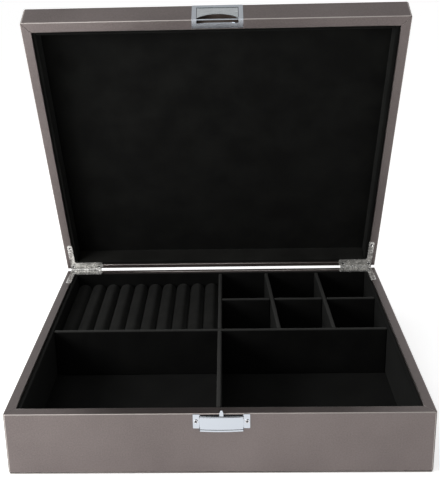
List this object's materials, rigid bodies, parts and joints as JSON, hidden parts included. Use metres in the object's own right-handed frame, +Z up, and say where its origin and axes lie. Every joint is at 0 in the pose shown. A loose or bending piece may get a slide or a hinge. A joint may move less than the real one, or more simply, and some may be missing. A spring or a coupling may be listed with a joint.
{
  "type": "cufflink and jewellery box",
  "caption": "Leatherette-covered hinged box with a velvet-lined tray of ring rolls, small cells and open compartments, a shallow lid and a press latch.",
  "frame": {"origin": "centre of the underside, where the box stands", "axes": "+Z up, +Y from the latch towards the hinges, +X to the right seen from the latch side"},
  "size_m": [0.3, 0.3002, 0.3073],
  "materials": {
    "leatherette": "fine-grained leatherette with a soft metallic taupe sheen",
    "board": "dark brown hardboard",
    "velvet": "short black velvet pile",
    "plated_metal": "polished chrome plate",
    "screw_steel": "bright steel"
  },
  "bodies": {
    "base": {"bottom_board": "leatherette", "base_front_board": "board", "base_rear_board": "board", "base_left_board": "board", "base_right_board": "board", "floor_board": "board", "base_cover": "leatherette", "floor_lining": "velvet", "base_front_lining": "velvet", "base_rear_lining": "velvet", "base_left_lining": "velvet", "base_right_lining": "velvet", "centre_divider": "velvet", "cross_divider": "velvet", "cell_divider_1": "velvet", "cell_divider_2": "velvet", "cell_cross_divider": "velvet", "ring_roll_base": "velvet", "ring_roll_01": "velvet", "ring_roll_02": "velvet", "ring_roll_03": "velvet", "ring_roll_04": "velvet", "ring_roll_05": "velvet", "ring_roll_06": "velvet", "ring_roll_07": "velvet", "ring_roll_08": "velvet", "ring_roll_09": "velvet", "ring_roll_10": "velvet", "base_hinge_leaf_left": "plated_metal", "base_hinge_leaf_right": "plated_metal", "hinge_pin_left": "screw_steel", "hinge_pin_right": "screw_steel", "base_hinge_screws": "screw_steel", "latch_plate": "plated_metal", "latch_pin": "screw_steel", "latch_spring": "screw_steel", "latch_screws": "screw_steel"},
    "lid": {"lid_front_board": "board", "lid_rear_board": "board", "lid_left_board": "board", "lid_right_board": "board", "lid_top_board": "board", "lid_cover": "leatherette", "lid_panel": "velvet", "lid_front_lining": "velvet", "lid_rear_lining": "velvet", "lid_left_lining": "velvet", "lid_right_lining": "velvet", "lid_hinge_leaf_left": "plated_metal", "lid_hinge_leaf_right": "plated_metal", "lid_hinge_screws": "screw_steel", "catch_frame": "plated_metal", "catch_bar": "plated_metal"},
    "latch_button": {"latch_button": "plated_metal", "latch_hook": "plated_metal"}
  },
  "joints": [
    {"name": "lid_hinge", "type": "hinge", "parent": "base", "child": "lid", "pos_m": [0, 0.138, 0.0481], "axis": [-1, 0, 0], "range_deg": [-64, 31]},
    {"name": "latch_press", "type": "hinge", "parent": "base", "child": "latch_button", "pos_m": [0.002, -0.139, 0.0434], "axis": [1, 0, 0], "range_deg": [0, 10], "stiffness_Nm_per_rad": 0.02, "springref_deg": -5.73}
  ]
}
